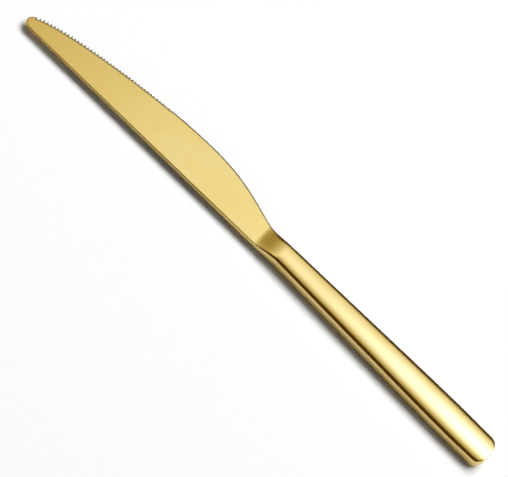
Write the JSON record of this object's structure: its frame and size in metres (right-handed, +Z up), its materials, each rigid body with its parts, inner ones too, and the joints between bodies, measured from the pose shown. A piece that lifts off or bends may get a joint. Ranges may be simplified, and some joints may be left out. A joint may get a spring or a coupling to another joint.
{
  "type": "table knife",
  "caption": "Gold-coated table knife with a finely toothed rounded blade, a ramped bolster and a crowned handle that widens to a squared, rounded butt.",
  "frame": {"origin": "centre of the knife's bounding box in X and Y, on the surface that the handle lies on", "axes": "+X from the tip towards the butt, +Y from the spine towards the cutting edge, +Z up, out of the upper flank"},
  "size_m": [0.231, 0.0212, 0.0066],
  "materials": {
    "blade_gold": "gold-coloured coating over satin ground stainless steel",
    "handle_gold": "gold-coloured coating over mirror-polished stainless steel",
    "weld_gold": "weld metal ground flush, polished and coated with the handle",
    "cement": "matt set filling"
  },
  "bodies": {
    "root": {"blade": "blade_gold", "bolster_weld": "weld_gold", "handle_shell_upper": "handle_gold", "handle_shell_lower": "handle_gold", "seam_weld": "weld_gold", "handle_filling": "cement"}
  },
  "joints": []
}
